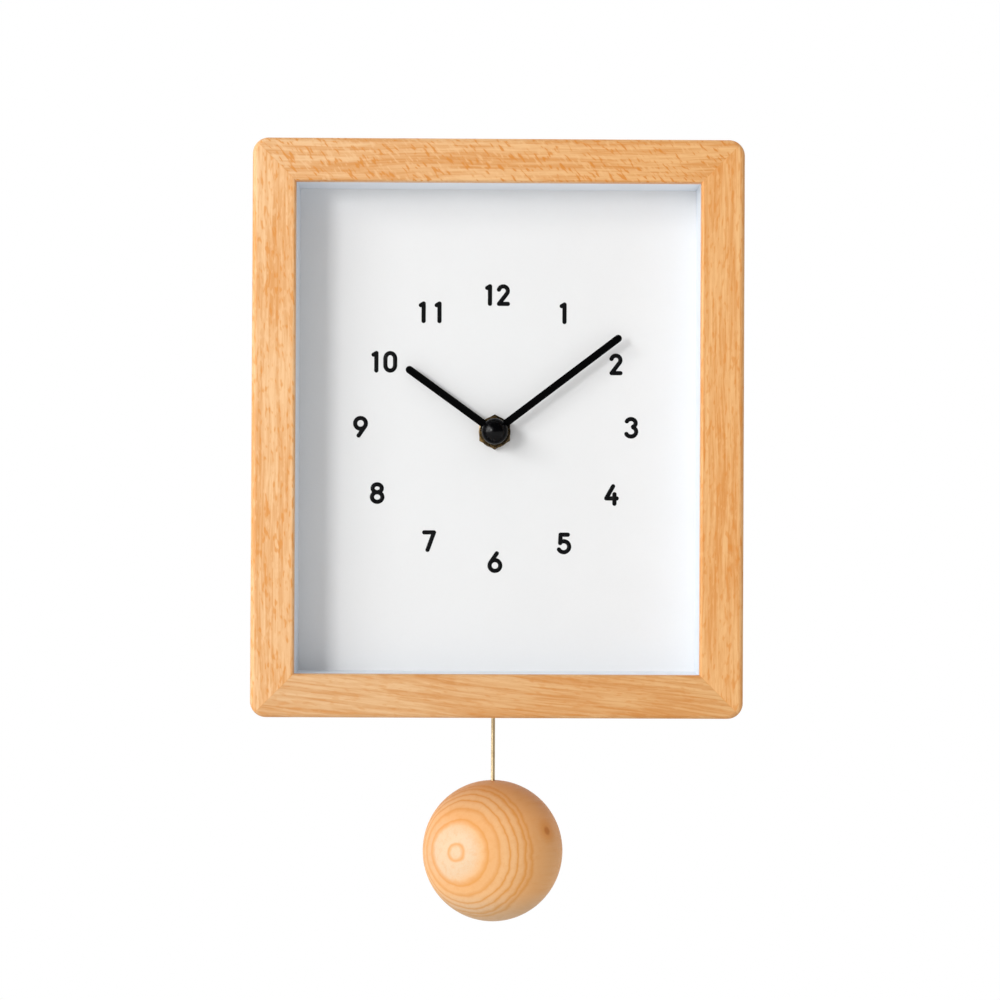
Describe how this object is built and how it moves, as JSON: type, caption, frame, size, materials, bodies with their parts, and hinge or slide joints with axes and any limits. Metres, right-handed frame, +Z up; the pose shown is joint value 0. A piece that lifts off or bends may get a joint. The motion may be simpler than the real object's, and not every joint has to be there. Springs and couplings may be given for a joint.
{
  "type": "pendulum wall clock",
  "caption": "Rectangular wooden wall clock with a recessed white dial, straight bar hands and a wooden ball on a rod pendulum below.",
  "frame": {"origin": "wall plane, at the wall screw's shank in the top of the hanger plate's keyhole slot", "axes": "+X to the right of a person facing the clock, +Z up, +Y into the wall"},
  "size_m": [0.17, 0.06, 0.2749],
  "materials": {
    "frame_wood": "clear satin lacquer on pale hardwood",
    "batten_wood": "raw softwood",
    "white_sheet": "white satin sheet",
    "plated_steel": "bright zinc plated",
    "case_plastic": "black moulded",
    "gear_plastic": "natural acetal",
    "rubber": "soft black",
    "brass": "drawn, lightly polished",
    "winding": "enamelled copper wire",
    "board": "solder mask",
    "cell_sleeve": "plain grey sleeve",
    "hand_paint": "satin black on aluminium",
    "cap_gloss": "glossy black",
    "ball_wood": "sanded softwood, clear lacquer"
  },
  "bodies": {
    "clock": {"frame_top_rail": "frame_wood", "frame_bottom_rail": "frame_wood", "frame_left_rail": "frame_wood", "frame_right_rail": "frame_wood", "liner_top": "white_sheet", "liner_bottom": "white_sheet", "liner_left": "white_sheet", "liner_right": "white_sheet", "dial_panel": "white_sheet", "batten_top": "batten_wood", "batten_bottom": "batten_wood", "batten_left": "batten_wood", "batten_right": "batten_wood", "hanger_plate": "plated_steel", "hanger_screws": "plated_steel", "movement_case": "case_plastic", "movement_cover": "case_plastic", "middle_plate": "gear_plastic", "rubber_washer": "rubber", "brass_washer": "brass", "hex_nut": "brass", "stator": "plated_steel", "motor_coil": "winding", "circuit_board": "board", "quartz_crystal": "plated_steel", "battery": "cell_sleeve", "contact_plus": "plated_steel", "contact_minus": "plated_steel", "drive_coil": "winding", "pivot_pin": "plated_steel"},
    "minute_hand": {"minute_hand": "hand_paint", "minute_arbor": "plated_steel", "hand_cap": "cap_gloss"},
    "hour_hand": {"hour_hand": "hand_paint", "hour_wheel": "gear_plastic"},
    "minute_wheel": {"minute_wheel": "gear_plastic"},
    "setting_knob": {"setting_knob": "case_plastic"},
    "seconds_wheel": {"seconds_wheel": "gear_plastic"},
    "third_wheel": {"third_wheel": "gear_plastic"},
    "centre_wheel": {"centre_wheel": "gear_plastic"},
    "intermediate_wheel": {"intermediate_wheel": "gear_plastic"},
    "rotor": {"rotor": "plated_steel"},
    "pendulum": {"pendulum_lever": "gear_plastic", "pendulum_magnet": "plated_steel", "pendulum_rod": "brass", "pendulum_ball": "ball_wood"}
  },
  "joints": [
    {"name": "minute_hand_spin", "type": "hinge", "parent": "clock", "child": "minute_hand", "pos_m": [-0.001, -0.03, -0.0837], "axis": [0, 1, 0], "continuous": true},
    {"name": "hour_hand_spin", "type": "hinge", "parent": "clock", "child": "hour_hand", "pos_m": [-0.001, -0.03, -0.0837], "axis": [0, 1, 0], "continuous": true},
    {"name": "minute_wheel_spin", "type": "hinge", "parent": "clock", "child": "minute_wheel", "pos_m": [-0.013, -0.03, -0.0837], "axis": [0, 1, 0], "continuous": true},
    {"name": "setting_knob_spin", "type": "hinge", "parent": "clock", "child": "setting_knob", "pos_m": [-0.02168, -0.03, -0.09404], "axis": [0, 1, 0], "continuous": true},
    {"name": "seconds_wheel_spin", "type": "hinge", "parent": "clock", "child": "seconds_wheel", "pos_m": [-0.001, -0.03, -0.0837], "axis": [0, 1, 0], "continuous": true},
    {"name": "third_wheel_spin", "type": "hinge", "parent": "clock", "child": "third_wheel", "pos_m": [-0.001, -0.03, -0.0735], "axis": [0, 1, 0], "continuous": true},
    {"name": "centre_wheel_spin", "type": "hinge", "parent": "clock", "child": "centre_wheel", "pos_m": [-0.001, -0.03, -0.0837], "axis": [0, 1, 0], "continuous": true},
    {"name": "intermediate_wheel_spin", "type": "hinge", "parent": "clock", "child": "intermediate_wheel", "pos_m": [-0.001, -0.03, -0.0945], "axis": [0, 1, 0], "continuous": true},
    {"name": "rotor_spin", "type": "hinge", "parent": "clock", "child": "rotor", "pos_m": [-0.00758, -0.03, -0.09689], "axis": [0, 1, 0], "continuous": true},
    {"name": "pendulum_swing", "type": "hinge", "parent": "clock", "child": "pendulum", "pos_m": [-0.001, -0.028, -0.1207], "axis": [0, 1, 0], "range_deg": [-5, 5]}
  ],
  "couplings": [
    {"joint": "hour_hand_spin", "follows": "minute_hand_spin", "ratio": 0.083333},
    {"joint": "minute_wheel_spin", "follows": "minute_hand_spin", "ratio": -0.33333},
    {"joint": "setting_knob_spin", "follows": "minute_hand_spin", "ratio": 0.66667},
    {"joint": "third_wheel_spin", "follows": "seconds_wheel_spin", "ratio": -0.13333},
    {"joint": "centre_wheel_spin", "follows": "seconds_wheel_spin", "ratio": 0.016667},
    {"joint": "intermediate_wheel_spin", "follows": "seconds_wheel_spin", "ratio": -5},
    {"joint": "rotor_spin", "follows": "seconds_wheel_spin", "ratio": 30}
  ]
}
